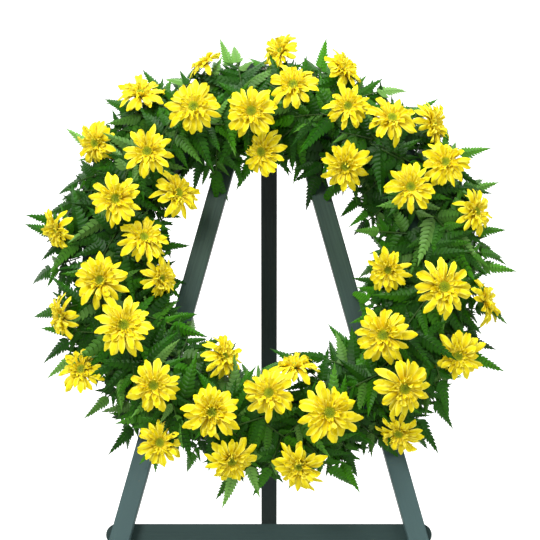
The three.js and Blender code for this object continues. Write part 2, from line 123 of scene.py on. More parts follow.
def end_tree(tree, geometry, material):
    """Realizes the instances, sets the material and closes the tree."""
    real = add_node(tree, "GeometryNodeRealizeInstances", {0: geometry}).outputs[0]
    finished = add_node(
        tree, "GeometryNodeSetMaterial", {"Geometry": real, "Material": material}).outputs[0]
    add_node(tree, "NodeGroupOutput", {0: finished})
    return tree


def calc(tree, operation, *values):
    """One arithmetic step."""
    return add_node(
        tree, "ShaderNodeMath", dict(enumerate(values)), operation=operation).outputs[0]


# Added to a seed, so that each thing chosen by chance gets numbers of its own.
PICK_SALT = 50
TONE_SALT = 60


def randomly(tree, low, high, seed, salt):
    """A random number for each item, between low and high."""
    chosen = calc(tree, "ADD", seed, salt)
    return add_node(
        tree, "FunctionNodeRandomValue", {"Min": low, "Max": high, "Seed": chosen},
        data_type="FLOAT").outputs[1]


def vector(tree, x=0.0, y=0.0, z=0.0):
    """Three numbers as one vector."""
    return add_node(tree, "ShaderNodeCombineXYZ", {"X": x, "Y": y, "Z": z}).outputs[0]


def variant_list(tree, shapes):
    """The given objects as a list of instances to pick from."""
    joined_shapes = add_node(tree, "GeometryNodeJoinGeometry")
    for shape in shapes:
        info = add_node(tree, "GeometryNodeObjectInfo", {"Object": shape, "As Instance": True})
        tree.links.new(info.outputs["Geometry"], joined_shapes.inputs[0])
    return joined_shapes.outputs[0]


def scatter(tree, points, shapes, place, turn, size, seed):
    """Puts a random one of the shapes on each point, with a random tone from 0 to 1."""
    moved = add_node(
        tree, "GeometryNodeSetPosition", {"Geometry": points, "Position": place}).outputs[0]
    pick = add_node(
        tree, "FunctionNodeRandomValue",
        {"Min": 0, "Max": len(shapes) - 1, "Seed": calc(tree, "ADD", seed, PICK_SALT)},
        data_type="INT").outputs[2]
    put = add_node(
        tree, "GeometryNodeInstanceOnPoints",
        {"Points": moved, "Instance": variant_list(tree, shapes), "Pick Instance": True,
         "Instance Index": pick, "Rotation": turn, "Scale": size}).outputs[0]
    return add_node(
        tree, "GeometryNodeStoreNamedAttribute",
        {"Geometry": put, "Name": "tone", "Value": randomly(tree, 0.0, 1.0, seed, TONE_SALT)},
        data_type="FLOAT", domain="INSTANCE").outputs[0]


# ---- Meshes -------------------------------------------------------------------------


def link(name, data):
    """A new object in the scene."""
    made = bpy.data.objects.new(name, data)
    bpy.context.scene.collection.objects.link(made)
    return made


def grown(tree, place, **inputs):
    """Evaluates a tree with these inputs, by name, and returns its plain mesh at a place."""
    host = link("host", bpy.data.meshes.new("host"))
    modifier = host.modifiers.new("grow", "NODES")
    modifier.node_group = tree
    sockets = {item.name: item.identifier for item in tree.interface.items_tree
               if item.in_out == "INPUT"}
    for name, value in inputs.items():
        modifier[sockets[name.replace("_", " ")]] = value
    seen = host.evaluated_get(bpy.context.evaluated_depsgraph_get())
    mesh = bpy.data.meshes.new_from_object(seen)
    bpy.data.objects.remove(host)
    made = link("grown", mesh)
    made.matrix_world = place
    return made


def joined(name, parts):
    """Joins parts into one named object at the origin, with their places in its mesh."""
    whole = link(name, bpy.data.meshes.new(name))
    with bpy.context.temp_override(
            active_object=whole, object=whole, selected_editable_objects=[whole, *parts]):
        bpy.ops.object.join()
    return whole


def lens_mesh(name, rows, material, thickness, creased=False, lobes=None):
    """A thin leaf or petal, closed, from rows of points across it. The faces meet at a sharp
    rim. Each point keeps how far along the leaf it is, and how far from its middle line to
    its edge, both from 0 to 1. A creased leaf is also sharp along its middle, and lobes
    gives each row's painted shade in its lobe: 0 dark in a notch, 1 lit at its widest."""
    rows = np.array(rows, float)
    count, across = rows.shape[:2]
    inner = np.zeros((count, across), bool)
    inner[1:-1, 1:-1] = True
    top = rows.copy()
    top[inner, 2] += thickness / 2
    under = rows[inner]
    under[:, 2] -= thickness / 2
    upper = np.arange(count * across).reshape(count, across)
    lower = upper.copy()
    lower[inner] = count * across + np.arange(len(under))
    faces = []
    for i in range(count - 1):
        for k in range(across - 1):
            a, b = (i, k), (i + 1, k)
            c, d = (i + 1, k + 1), (i, k + 1)
            faces.append([upper[q] for q in (a, b, c, d)])
            faces.append([lower[q] for q in (d, c, b, a)])
    mesh = bpy.data.meshes.new(name)
    mesh.from_pydata(np.vstack([top.reshape(-1, 3), under]).tolist(), [], faces)
    mesh.shade_smooth()
    along = np.repeat(np.linspace(0, 1, count), across).reshape(count, across)
    aside = np.tile(np.abs(np.linspace(-1, 1, across)), count).reshape(count, across)
    in_lobe = np.repeat(lobes or [1.0] * count, across).reshape(count, across)
    for label, grid in (("along", along), ("aside", aside), ("lobe", in_lobe)):
        values = np.concatenate([grid.ravel(), grid[inner]])
        mesh.attributes.new(label, "FLOAT", "POINT").data.foreach_set("value", values)
    lines = [set(upper[~inner].tolist())]
    if creased:
        lines += [set(upper[:, across // 2].tolist()), set(lower[:, across // 2].tolist())]
    sharp = mesh.attributes.new("sharp_edge", "BOOLEAN", "EDGE")
    sharp.data.foreach_set("value", [
        any(line.issuperset(edge.vertices) for line in lines) for edge in mesh.edges])
    mesh.materials.append(material)
    return mesh


def shape(name, mesh):
    """An object that stays out of the scene, for trees to pick."""
    return bpy.data.objects.new(name, mesh)


def tube(points, radii, material, sides=6):
    """A closed tube through a list of points, with a radius at each."""
    curve = bpy.data.curves.new("tube", "CURVE")
    curve.dimensions = "3D"
    curve.bevel_depth = 1.0
    curve.bevel_resolution = max(0, sides // 2 - 2)
    curve.use_fill_caps = True
    curve.resolution_u = 4
    spline = curve.splines.new("BEZIER")
    spline.bezier_points.add(len(points) - 1)
    for knot, point, radius in zip(spline.bezier_points, points, radii):
        knot.co = point
        knot.radius = radius
        knot.handle_left_type = knot.handle_right_type = "AUTO"
    host = link("tube", curve)
    mesh = bpy.data.meshes.new_from_object(
        host.evaluated_get(bpy.context.evaluated_depsgraph_get()))
    bpy.data.objects.remove(host)
    mesh.shade_smooth()
    mesh.materials.clear()
    mesh.materials.append(material)
    return link("tube", mesh)


# ---- Colours and materials ----------------------------------------------------------


def linear(colour):
    """A sRGB hex colour as linear red, green and blue, with a full alpha."""
    parts = [int(colour[i:i + 2], 16) / 255 for i in (1, 3, 5)]
    return [p / 12.92 if p <= 0.04045 else ((p + 0.055) / 1.055) ** 2.4 for p in parts] + [1.0]


def new_material(name, roughness, **settings):
    """A material with its Principled shader's own sockets set, and that shader."""
    material = bpy.data.materials.new(name)
    material.use_nodes = True
    tree = material.node_tree
    shader = tree.nodes["Principled BSDF"]
    shader.inputs["Roughness"].default_value = roughness
    for key, value in settings.items():
        shader.inputs[key.replace("_", " ")].default_value = value
    return material, tree, shader


def ramp(tree, factor, *stops):
    """A colour ramp with (position, sRGB colour) stops."""
    made = add_node(tree, "ShaderNodeValToRGB", {"Fac": factor})
    elements = made.color_ramp.elements
    while len(elements) < len(stops):
        elements.new(0.5)
    for element, (position, colour) in zip(elements, stops):
        element.position = position
        element.color = linear(colour)
    return made.outputs["Color"]


def mixed(tree, factor, first, second):
    """Two colours mixed. Each is a socket or a sRGB colour."""
    made = add_node(tree, "ShaderNodeMix", data_type="RGBA")
    colours = [linear(c) if isinstance(c, str) else c for c in (first, second)]
    for index, value in ((0, factor), (6, colours[0]), (7, colours[1])):
        if isinstance(value, bpy.types.NodeSocket):
            tree.links.new(value, made.inputs[index])
        else:
            made.inputs[index].default_value = value
    return made.outputs[2]


def noise(tree, coordinates, size, detail=3.0):
    """Noise whose lumps are about `size` metres across."""
    return add_node(
        tree, "ShaderNodeTexNoise",
        {"Vector": coordinates, "Scale": 1 / size, "Detail": detail}).outputs["Fac"]


def stretched(tree, turn, stretch):
    """Object coordinates turned by angles and scaled, for a pattern that runs one way."""
    where = add_node(tree, "ShaderNodeTexCoord").outputs["Object"]
    turned = add_node(tree, "ShaderNodeMapping", {"Vector": where, "Rotation": turn})
    return add_node(
        tree, "ShaderNodeMapping", {"Vector": turned.outputs[0], "Scale": stretch}).outputs[0]


def bump(tree, shader, height, distance):
    """Raises a shader's surface by a height from 0 to 1, over a distance in metres."""
    made = add_node(tree, "ShaderNodeBump", {"Height": height, "Distance": distance})
    tree.links.new(made.outputs["Normal"], shader.inputs["Normal"])


def attribute(tree, name):
    """A value that the mesh carries under this name."""
    return add_node(tree, "ShaderNodeAttribute", attribute_name=name).outputs["Fac"]


def petal_material():
    """Fresh chrysanthemum petals: a soft satin skin, golden at the root and a darker orange
    there as painted shade from the crevices between petals, with paler edges, partly the
    petal's own pale rim and partly a painted highlight, and fine lines along it."""
    material, tree, shader = new_material("chrysanthemum petal", 0.5, Specular_IOR_Level=0.12)
    where = add_node(tree, "ShaderNodeTexCoord").outputs["Object"]
    # Golden at the root, deepened to a darker orange there as painted shade in the crevices between
    # petals
    along = ramp(
        tree, attribute(tree, "along"),
        (0.0, "#CE9000"), (0.3, "#E6BF00"), (0.62, "#EFE004"), (1.0, "#F2E80A"))
    # Paler edges: partly the petal's own pale rim, partly a painted highlight
    edge = ramp(tree, attribute(tree, "aside"), (0.5, "#000000"), (1.0, "#FFFFFF"))
    colour = mixed(tree, calc(tree, "MULTIPLY", edge, 0.75), along, "#FDFA80")
    wave = calc(tree, "SINE", calc(tree, "MULTIPLY", attribute(tree, "aside"), 19.0))
    lines = calc(tree, "MULTIPLY", calc(tree, "MAXIMUM", wave, 0.0), 0.4)
    colour = mixed(tree, lines, colour, "#DFA904")
    tone = ramp(tree, attribute(tree, "tone"), (0.0, "#EBD404"), (1.0, "#F6F020"))
    colour = mixed(tree, 0.25, colour, tone)
    mottled = ramp(tree, noise(tree, where, 6 * MM), (0.35, "#E8D004"), (0.75, "#F9F550"))
    colour = mixed(tree, 0.2, colour, mottled)
    tree.links.new(colour, shader.inputs["Base Color"])
    bump(tree, shader, noise(tree, where, 1.2 * MM), 0.15 * MM)
    return material


def disc_material():
    """Unopened disc florets: olive green in the middle, lime yellow where they open."""
    material, tree, shader = new_material("disc florets", 0.6, Specular_IOR_Level=0.3)
    colour = ramp(
        tree, attribute(tree, "spread"), (0.0, "#8A9C10"), (0.6, "#AAB816"), (1.0, "#D2CC1E"))
    tree.links.new(colour, shader.inputs["Base Color"])
    return material


def stem_material():
    """Fresh green stems and bracts, matt and faintly ribbed."""
    material, tree, shader = new_material("green stem", 0.5, Specular_IOR_Level=0.4)
    where = add_node(tree, "ShaderNodeTexCoord").outputs["Object"]
    colour = ramp(tree, noise(tree, where, 9 * MM), (0.3, "#3C6B22"), (0.7, "#6B9A3A"))
    tree.links.new(colour, shader.inputs["Base Color"])
    return material


def fern_material():
    """Leatherleaf fern: a leathery, glossy dark green leaf with a waxy bloom on some
    fronds, paler along its ribs, and darkened with painted shade in the notches between
    its lobes, towards the roots of fronds and on fronds that lie lower."""
    material, tree, shader = new_material(
        "leatherleaf fern", 0.38, Specular_IOR_Level=0.12)
    where = add_node(tree, "ShaderNodeTexCoord").outputs["Object"]
    tone = ramp(
        tree, attribute(tree, "tone"),
        (0.0, "#0F3803"), (0.45, "#286806"), (0.8, "#48900E"), (1.0, "#8CC060"))
    patches = ramp(tree, noise(tree, where, 40 * MM), (0.35, "#184C04"), (0.65, "#428A0C"))
    colour = mixed(tree, 0.3, tone, patches)
    # Painted shade in the notches between a pinna's lobes
    notch = ramp(tree, attribute(tree, "lobe"), (0.1, "#FFFFFF"), (0.75, "#000000"))
    colour = mixed(tree, calc(tree, "MULTIPLY", notch, 0.75), colour, "#0A2602")
    midrib = ramp(tree, attribute(tree, "aside"), (0.02, "#FFFFFF"), (0.14, "#000000"))
    on_leaf = calc(tree, "MULTIPLY", midrib, attribute(tree, "along"))
    colour = mixed(tree, calc(tree, "MULTIPLY", on_leaf, 0.35), colour, "#5C8A48")
    colour = mixed(tree, attribute(tree, "rib"), colour, "#4C6E2E")
    # Painted shade: darker towards the roots of fronds and on fronds that lie lower, where other
    # leaves cover them
    colour = mixed(tree, attribute(tree, "shade"), "#0B2405", colour)
    tree.links.new(colour, shader.inputs["Base Color"])
    bump(tree, shader, noise(tree, where, 2.5 * MM), 0.25 * MM)
    return material


def foam_material():
    """Wet phenolic floral foam: matt, with a fine open grain; its dark green is deepened to
    near-black as painted shade, so that foam seen between the fronds reads as shadowed gaps.
    """
    material, tree, shader = new_material("wet floral foam", 0.9, Specular_IOR_Level=0.25)
    where = add_node(tree, "ShaderNodeTexCoord").outputs["Object"]
    # Dark green deepened to near-black as painted shade, so foam between the fronds reads as
    # shadowed gaps
    colour = ramp(tree, noise(tree, where, 30 * MM), (0.3, "#0A2016"), (0.7, "#133022"))
    tree.links.new(colour, shader.inputs["Base Color"])
    bump(tree, shader, noise(tree, where, 1.5 * MM, detail=4.0), 0.5 * MM)
    return material


def tray_material():
    """Moulded polypropylene in dark green: an even, fine satin."""
    material, tree, shader = new_material("moulded polypropylene", 0.42)
    where = add_node(tree, "ShaderNodeTexCoord").outputs["Object"]
    colour = ramp(tree, noise(tree, where, 80 * MM), (0.3, "#122B22"), (0.7, "#173428"))
    tree.links.new(colour, shader.inputs["Base Color"])
    bump(tree, shader, noise(tree, where, 1.0 * MM), 0.05 * MM)
    return material


def wire_material():
    """Florist's wire, enamelled green over steel."""
    material, tree, shader = new_material("green enamelled wire", 0.35)
    where = add_node(tree, "ShaderNodeTexCoord").outputs["Object"]
    colour = ramp(tree, noise(tree, where, 8 * MM), (0.3, "#1E4527"), (0.7, "#2F6238"))
    tree.links.new(colour, shader.inputs["Base Color"])
    return material


def zinc_material():
    """Steel, zinc plated and a little dulled."""
    material, tree, shader = new_material("zinc plated steel", 0.35, Metallic=1.0)
    where = add_node(tree, "ShaderNodeTexCoord").outputs["Object"]
    cloudy = noise(tree, where, 4 * MM)
    tree.links.new(
        ramp(tree, cloudy, (0.3, "#9EA29F"), (0.7, "#C3C6C2")), shader.inputs["Base Color"])
    rough = add_node(
        tree, "ShaderNodeMapRange", {"Value": cloudy, "To Min": 0.28, "To Max": 0.45})
    tree.links.new(rough.outputs[0], shader.inputs["Roughness"])
    return material


def painted_wood(name, turn, shades):
    """Softwood under thin slate green paint: the grain shows as fine streaks along the piece,
    and the paint is lighter and greyer low down, as painted light where the lower legs
    catch more light and the upper parts lie in the wreath's shade. turn brings the length
    of the piece along Z, and shades are the paint's dark and middle colours and its
    painted lit colour low down."""
    material, tree, shader = new_material(name, 0.5, Specular_IOR_Level=0.25)
    dark, plain, painted_lower_light = shades
    where = add_node(tree, "ShaderNodeTexCoord").outputs["Object"]
    grain = noise(tree, stretched(tree, turn, (1, 1, 0.03)), 2.2 * MM, detail=5.0)
    broad = noise(tree, stretched(tree, turn, (1, 1, 0.12)), 22 * MM)
    colour = ramp(tree, grain, (0.3, dark), (0.7, plain))
    colour = mixed(tree, 0.4, colour, ramp(tree, broad, (0.3, dark), (0.7, plain)))
    # Painted light: lighter and greyer towards the bottom, where the legs catch more light below
    # the wreath's shade
    height = add_node(tree, "ShaderNodeSeparateXYZ", {0: where}).outputs["Z"]
    low = add_node(
        tree, "ShaderNodeMapRange",
        {"Value": height, "From Min": 0.62, "From Max": 0.35, "To Min": 0.0, "To Max": 0.75})
    colour = mixed(tree, low.outputs[0], colour, painted_lower_light)
    chips = ramp(
        tree, noise(tree, stretched(tree, turn, (1, 1, 0.3)), 9 * MM, detail=6.0),
        (0.715, "#000000"), (0.74, "#FFFFFF"))
    colour = mixed(tree, calc(tree, "MULTIPLY", chips, 0.7), colour, "#83735A")
    tree.links.new(colour, shader.inputs["Base Color"])
    bump(tree, shader, grain, 0.2 * MM)
    return material


PETAL = petal_material()
DISC = disc_material()
STEM = stem_material()
FERN = fern_material()

# ---- Daisy heads --------------------------------------------------------------------

# Where a petal's rows of points lie along it, and half its width there.
PETAL_STATIONS = (0.0, 0.1, 0.25, 0.43, 0.62, 0.79, 0.92, 1.0)
PETAL_HALF_WIDTHS = (0.14, 0.19, 0.3, 0.41, 0.48, 0.5, 0.45, 0.3)
PETAL_ROUNDING = 0.15
PETAL_ARCH = 0.12
PETAL_RIDGE = 0.022
PETAL_THICKNESS = 0.02


def petal(name, fall, cup, twist, notch, material=PETAL):
    """A petal one unit long and one wide, along X and facing Z, with two ridges along it.
    fall bends the tip down, cup lifts the edges, twist turns the tip, notch splits the tip."""
    rows = []
    for s, half in zip(PETAL_STATIONS, PETAL_HALF_WIDTHS):
        row = []
        for u in (-1, -0.5, 0, 0.5, 1):
            x = s - (PETAL_ROUNDING * u * u + notch * (1 - abs(u))) * s ** 4
            ridge = -PETAL_RIDGE * math.cos(TAU * u) * math.sin(math.pi * min(1, s + 0.05))
            z = PETAL_ARCH * math.sin(math.pi * s) - fall * s * s + cup * u * u * s + ridge
            turn = twist * s * s
            y = half * u
            row.append((x, y * math.cos(turn), z + y * 0.3 * math.sin(turn)))
        rows.append(row)
    return shape(name, lens_mesh(name, rows, material, PETAL_THICKNESS))


PETALS = [
    petal("petal level", 0.04, 0.07, 0.0, 0.06),
    petal("petal falling", 0.24, 0.04, 0.35, 0.02),
    petal("petal cupped", -0.06, 0.15, -0.3, 0.08),
    petal("petal rolled", 0.1, -0.08, -0.6, 0.0),
    petal("petal hooked", 0.4, 0.1, 0.2, 0.03),
]
QUILLS = [
    petal("quill raised", -0.12, 0.35, 0.2, 0.1),
    petal("quill curled", 0.3, 0.45, -0.5, 0.05),
    petal("quill split", 0.05, 0.3, 0.8, 0.2),
]
BRACTS = [petal("bract", -0.05, 0.08, 0.0, 0.0, STEM)]


def petal_row_tree(name, shapes, material):
    """One ring of petals round Z. Spread is how uneven the ring is, from 0 to 1."""
    tree, given = new_tree(name, [
        ("Count", "NodeSocketInt", 14),
        ("Start", "NodeSocketFloat", 0.005),
        ("Rise", "NodeSocketFloat", 0.0),
        ("Length", "NodeSocketFloat", 0.028),
        ("Width", "NodeSocketFloat", 0.009),
        ("Tilt", "NodeSocketFloat", 0.2),
        ("Spread", "NodeSocketFloat", 0.5),
        ("Turn", "NodeSocketFloat", 0.0),
        ("Shortest", "NodeSocketFloat", 0.8),
        ("Seed", "NodeSocketInt", 1),
    ])
    seed = given["Seed"]
    spread = given["Spread"]
    index = add_node(tree, "GeometryNodeInputIndex").outputs[0]
    step = calc(tree, "DIVIDE", TAU, given["Count"])
    stray = calc(tree, "MULTIPLY", randomly(tree, -0.5, 0.5, seed, 1), spread)
    place = calc(tree, "ADD", calc(tree, "ADD", index, given["Turn"]), stray)
    angle = calc(tree, "MULTIPLY", place, step)
    x = calc(tree, "MULTIPLY", calc(tree, "COSINE", angle), given["Start"])
    y = calc(tree, "MULTIPLY", calc(tree, "SINE", angle), given["Start"])
    roll = calc(tree, "MULTIPLY", randomly(tree, -0.6, 0.6, seed, 2), spread)
    lift = calc(tree, "MULTIPLY", randomly(tree, -0.38, 0.38, seed, 3), spread)
    pitch = calc(tree, "MULTIPLY", calc(tree, "ADD", given["Tilt"], lift), -1.0)
    length = calc(
        tree, "MULTIPLY", given["Length"], randomly(tree, given["Shortest"], 1.04, seed, 4))
    width = calc(tree, "MULTIPLY", given["Width"], randomly(tree, 0.78, 1.18, seed, 5))
    points = add_node(tree, "GeometryNodeMeshLine", {"Count": given["Count"]}).outputs[0]
    ring = scatter(
        tree, points, shapes, vector(tree, x, y, given["Rise"]),
        vector(tree, roll, pitch, angle), vector(tree, length, width, length), seed)
    return end_tree(tree, ring, material)


GOLDEN_ANGLE = math.radians(137.508)
FLORET_SIZE = 0.24  # as a share of the disc's radius


def floret_shape():
    """A closed bud, one unit wide, on a short stalk."""
    mesh = bpy.data.meshes.new("floret")
    sides = 6
    rings = ((0.3, -0.7), (0.5, 0.0), (0.3, 0.32))
    points = [(r * math.cos(TAU * k / sides), r * math.sin(TAU * k / sides), z)
              for r, z in rings for k in range(sides)]
    points += [(0, 0, -0.8), (0, 0, 0.42)]
    faces = []
    for k in range(sides):
        j = (k + 1) % sides
        faces += [(k, j, sides + j, sides + k)]
        faces += [(sides + k, sides + j, 2 * sides + j, 2 * sides + k)]
        faces += [(j, k, 3 * sides), (2 * sides + k, 2 * sides + j, 3 * sides + 1)]
    mesh.from_pydata(points, [], faces)
    mesh.shade_smooth()
    return shape("floret", mesh)


def disc_tree():
    """Florets in the spiral of a daisy's disc, over a low dome."""
    tree, given = new_tree("daisy disc", [
        ("Count", "NodeSocketInt", 85),
        ("Radius", "NodeSocketFloat", 0.006),
        ("Dome", "NodeSocketFloat", 0.002),
        ("Rise", "NodeSocketFloat", 0.001),
        ("Seed", "NodeSocketInt", 1),
    ])
    index = add_node(tree, "GeometryNodeInputIndex").outputs[0]
    share = calc(tree, "SQRT", calc(tree, "DIVIDE", calc(tree, "ADD", index, 0.5), given["Count"]))
    angle = calc(tree, "MULTIPLY", index, GOLDEN_ANGLE)
    radius = calc(tree, "MULTIPLY", share, given["Radius"])
    x = calc(tree, "MULTIPLY", calc(tree, "COSINE", angle), radius)
    y = calc(tree, "MULTIPLY", calc(tree, "SINE", angle), radius)
    fall = calc(tree, "MULTIPLY", calc(tree, "MULTIPLY", share, share), given["Dome"])
    z = calc(tree, "SUBTRACT", calc(tree, "ADD", given["Rise"], given["Dome"]), fall)
    size = calc(tree, "MULTIPLY", given["Radius"], FLORET_SIZE)
    grow = calc(tree, "MULTIPLY", size, calc(tree, "ADD", 0.75, calc(tree, "MULTIPLY", share, 0.4)))
    lean = calc(tree, "MULTIPLY", share, 0.5)
    points = add_node(tree, "GeometryNodeMeshLine", {"Count": given["Count"]}).outputs[0]
    florets = scatter(
        tree, points, [floret_shape()], vector(tree, x, y, z),
        vector(tree, 0.0, lean, angle), vector(tree, grow, grow, grow), given["Seed"])
    stored = add_node(
        tree, "GeometryNodeStoreNamedAttribute",
        {"Geometry": florets, "Name": "spread", "Value": share},
        data_type="FLOAT", domain="INSTANCE").outputs[0]
    return end_tree(tree, stored, DISC)


PETAL_ROW = petal_row_tree("petal row", PETALS, PETAL)
QUILL_ROW = petal_row_tree("quill row", QUILLS, PETAL)
BRACT_ROW = petal_row_tree("bract row", BRACTS, STEM)
DISC_SPIRAL = disc_tree()

# Shares of the head's radius, and the number of florets in its disc.
PETAL_START = 0.18
DISC_RADIUS = 0.22
DISC_FLORETS = 60
BRACT_COUNT = 12
HEAD_BASE = -0.34  # the back of a head's green base, behind the disc

# Rows of petals from the outside in: [tree, count, length, width, tilt, height, spread], the
# sizes as shares of the head's radius and the tilt in radians above flat.
ROWS = (
    (PETAL_ROW, 13, 0.96, 0.30, 0.02, -0.10, 0.7),
    (PETAL_ROW, 14, 0.84, 0.26, 0.24, -0.08, 0.8),
    (QUILL_ROW, 16, 0.62, 0.22, 0.48, -0.05, 0.9),
    (QUILL_ROW, 15, 0.38, 0.18, 0.85, -0.03, 0.9),
)


def daisy_head(place, across, seed):
    """A head on its disc's centre, facing Z of `place`, as wide as `across` in metres."""
    chance = random.Random(seed)
    radius = across / 2
    openness = chance.uniform(-0.12, 0.12)
    start = PETAL_START * radius
    parts = []
    for number, (tree, count, length, width, tilt, height, spread) in enumerate(ROWS):
        parts.append(grown(
            tree, place, Count=count, Start=start, Rise=height * radius,
            Length=length * radius, Width=width * radius, Tilt=tilt + openness,
            Spread=spread, Turn=0.5 * number, Shortest=0.8 - 0.1 * number,
            Seed=seed * 10 + number))
    parts.append(grown(
        DISC_SPIRAL, place, Count=DISC_FLORETS, Radius=DISC_RADIUS * radius,
        Dome=0.05 * radius, Rise=0.02 * radius, Seed=seed))
    parts.append(grown(
        BRACT_ROW, place, Count=BRACT_COUNT, Start=0.05 * radius, Rise=-0.2 * radius,
        Length=0.34 * radius, Width=0.12 * radius, Tilt=0.12, Spread=0.3, Turn=0.0,
        Shortest=0.9, Seed=seed * 10 + 7))
    base = place @ Vector((0, 0, HEAD_BASE * radius))
    crown = place @ Vector((0, 0, 0.02 * radius))
    waist = base.lerp(crown, 0.55)
    parts.append(tube(
        [base, waist, crown], [0.05 * radius, 0.16 * radius, 0.15 * radius], STEM, sides=8))
    return parts


# ---- Sprays -------------------------------------------------------------------------

# Millimetres, as in the solids. Depths are forward of the front legs.
RING_RADIUS = 198
CROWN_DEPTH = 92  # a head's disc over the middle of the ring
CROWN_FALL = 0.0095  # how fast heads fall back either side of it
TILT_PER_MM = math.radians(0.8)  # heads turn away from the ring's middle line
HEAD_HEIGHT = 15  # from the top of the stem to the disc
FOAM_BACK = 2.7
STEM_ROOT_DEPTH = FOAM_BACK + 14
HEAD_TURN = 7  # a head's X points at this many clock angles, so that heads aren't alike

# Heads of each spray: [clock angle, distance from the centre, width across, lift] in mm, and
# how much further than its place on the ring a head is turned away, in degrees.
SPRAYS = (
    ((3, 271, 54, 0, 14), (8, 213, 62, 0, 0)),
    ((21, 260, 54, 0, 0), (28, 207, 56, 0, 0), (40, 147, 62, 0, 6)),
    ((50, 270, 60, 0, 0), (42, 226, 66, 6, 0)),
    ((62, 246, 62, 6, 0), (65, 190, 60, 0, 0)),
    ((77, 263, 60, 0, -6), (102, 215, 72, 4, 0)),
    ((101, 272, 56, 0, 10), (118, 260, 62, 0, 14)),
    ((97, 146, 54, 0, 0), (127, 171, 70, 6, 6)),
    ((136, 232, 70, 10, 0), (144, 266, 58, -6, 6)),
    ((160, 209, 74, 4, 0), (167, 137, 60, 0, -12)),
    ((180, 172, 62, 4, 0), (204, 133, 54, 0, -4)),
    ((172, 258, 64, 0, 0), (199, 207, 66, 4, 0), (190, 254, 62, 0, 0)),
    ((220, 213, 62, 0, 0), (210, 262, 56, 0, 0)),
    ((239, 266, 58, 0, 10), (254, 264, 56, 0, 14)),
    ((242, 196, 70, 8, 0), (259, 134, 52, 0, 0)),
    ((260, 206, 64, 0, 0), (278, 265, 54, 0, 16)),
    ((278, 154, 62, 0, 0), (306, 138, 62, 0, 0)),
    ((289, 196, 64, 6, 0), (310, 194, 62, 0, 0)),
    ((304, 261, 58, 0, 10), (323, 268, 60, 0, -8)),
    ((333, 204, 66, 0, 0), (342, 264, 48, 0, 14)),
    ((353, 177, 64, 6, 0), (356, 136, 60, -4, -8)),
)


def head_place(clock, radius, lift, turn):
    """The centre of a head's disc and the way it faces."""
    off = radius - RING_RADIUS
    depth = CROWN_DEPTH - CROWN_FALL * off * off + lift
    tilt = TILT_PER_MM * off + math.radians(turn)
    facing = outward(clock) * math.sin(tilt) + FORWARD * math.cos(tilt)
    return on_wreath(clock, radius, depth), facing


def daisy_spray(number, heads):
    """One stem out of the foam that forks to two or three heads."""
    name = f"daisy_spray_{number:02d}"
    parts = []
    ends = []
    for k, (clock, radius, across, lift, turn) in enumerate(heads):
        disc, facing = head_place(clock, radius, lift, turn)
        place = placed(disc, outward(clock * HEAD_TURN), facing)
        parts += daisy_head(place, across * MM, number * 10 + k)
        ends.append((disc - facing * HEAD_HEIGHT * MM, facing))
    mean = sum((end for end, _ in ends), Vector()) / len(ends)
    flat = mean - CENTRE
    clock = math.degrees(math.atan2(flat.dot(RIGHT), flat.dot(UP)))
    reach = math.hypot(flat.dot(RIGHT), flat.dot(UP)) / MM
    root = on_wreath(clock, RING_RADIUS + 0.2 * (reach - RING_RADIUS), STEM_ROOT_DEPTH)
    fork = root.lerp(mean, 0.7)
    parts.append(tube([root, fork], [1.6 * MM, 1.5 * MM], STEM))
    for end, facing in ends:
        bend = end - facing * 0.35 * (end - fork).length
        path = [fork - (fork - root) * 0.06, fork.lerp(bend, 0.7), end + facing * 3 * MM]
        parts.append(tube(path, [1.4 * MM, 1.3 * MM, 1.5 * MM], STEM))
    piece = joined(name + "_flowers", parts)
    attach(piece, "root")
    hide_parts(name)


# ---- Ferns --------------------------------------------------------------------------

LOBES = 9  # on a pinna
PINNA_HALF_WIDTH = 0.215
PINNA_FOLD = 0.42  # how fast a pinna falls away from its midrib
PINNA_THICKNESS = 0.012


def pinna(name, seed, sag, twist):
    """A side branch of a frond, one unit long, along X and facing Z: a long triangle folded
    along its midrib, deeply lobed at its root and only toothed towards its tip."""
    chance = random.Random(seed)
    rows = [[(0.0, -0.012, 0.0), (0.0, 0.0, 0.0), (0.0, 0.012, 0.0)]]
    lobes = [0.0]
    step = 0.82 / LOBES
    for lobe in range(LOBES):
        s = 0.04 + lobe * step
        half = PINNA_HALF_WIDTH * min(1, 0.75 + 3 * s) * (1 - s) ** 0.95
        cut = min(0.8, 0.1 + 0.75 * s)
        lengths = [chance.uniform(0.9, 1.1) for _ in range(3)]
        # Each row's last number is its painted shade: 0 dark in a notch, 1 lit across the lobe
        for share, grown_out, ahead, rise, lit in (
                (0.0, 0.0, 0.0, -0.006, 0.0), (0.22, 0.55, 0.03, 0.004, 0.8),
                (0.52, 0.92, 0.065, 0.006, 1.0), (0.86, 0.97, 0.105, 0.0, 1.0)):
            reach = cut + (1 - cut) * grown_out
            x = s + share * step
            row = []
            for side in (-1, 0, 1):
                y = side * half * reach * (lengths[side + 1] if grown_out else 1.0)
                turn = twist * x * x
                bend = -sag * x * x - PINNA_FOLD * abs(y)
                row.append((
                    x + abs(side) * ahead * (1 - 0.8 * x), y * math.cos(turn),
                    bend + y * math.sin(turn) + (rise if side else 0.0)))
            rows.append(row)
            lobes.append(lit)
    for x, half in ((0.89, 0.028), (0.96, 0.016), (1.04, 0.002)):
        rows.append([(x, side * half, -sag * x * x - PINNA_FOLD * half * abs(side))
                     for side in (-1, 0, 1)])
        lobes.append(1.0)
    mesh = lens_mesh(name, rows, FERN, PINNA_THICKNESS, creased=True, lobes=lobes)
    return shape(name, mesh)


PINNAE = [
    pinna("pinna level", 3, 0.05, 0.0),
    pinna("pinna arched", 5, 0.2, 0.3),
    pinna("pinna raised", 8, -0.1, -0.3),
    pinna("pinna turned", 13, 0.1, 0.7),
]


